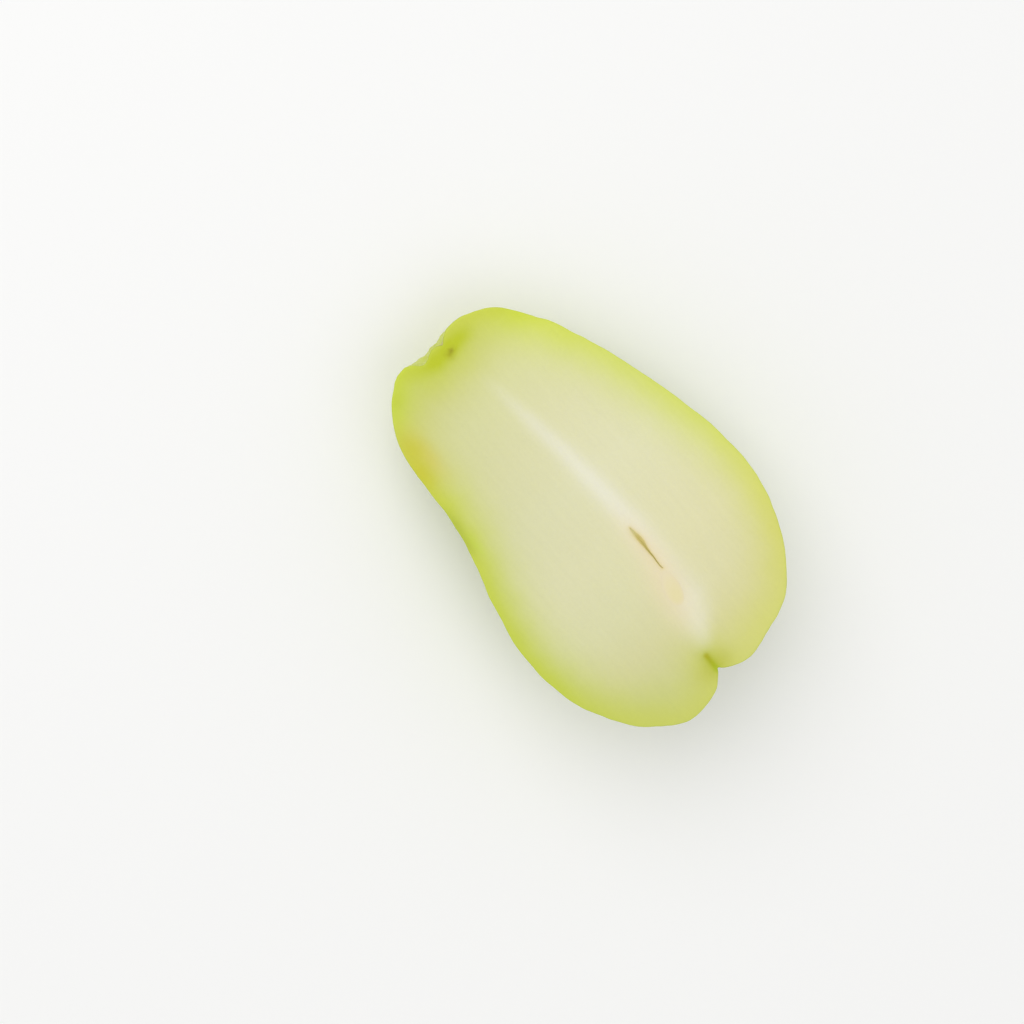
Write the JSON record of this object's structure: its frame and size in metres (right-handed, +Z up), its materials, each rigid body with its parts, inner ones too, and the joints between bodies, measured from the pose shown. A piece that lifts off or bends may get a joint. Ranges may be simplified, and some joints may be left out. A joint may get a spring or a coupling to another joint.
{
  "type": "chayote squash half",
  "caption": "Half of a lobed green chayote squash cut lengthwise, lying on its skin with the pale cut face and seed up.",
  "frame": {"origin": "centre of the bounding box's underside, on the surface that the half lies on", "axes": "+X from the stem end to the blossom end, +Y towards the wider side of the cut face, +Z up"},
  "size_m": [0.1276, 0.0824, 0.0436],
  "materials": {
    "chayote_flesh": "moist cut flesh, pale yellow-green, in a satin green skin",
    "chayote_seed": "smooth, moist, cream"
  },
  "bodies": {
    "root": {"chayote_half": "chayote_flesh", "seed_half": "chayote_seed"}
  },
  "joints": []
}
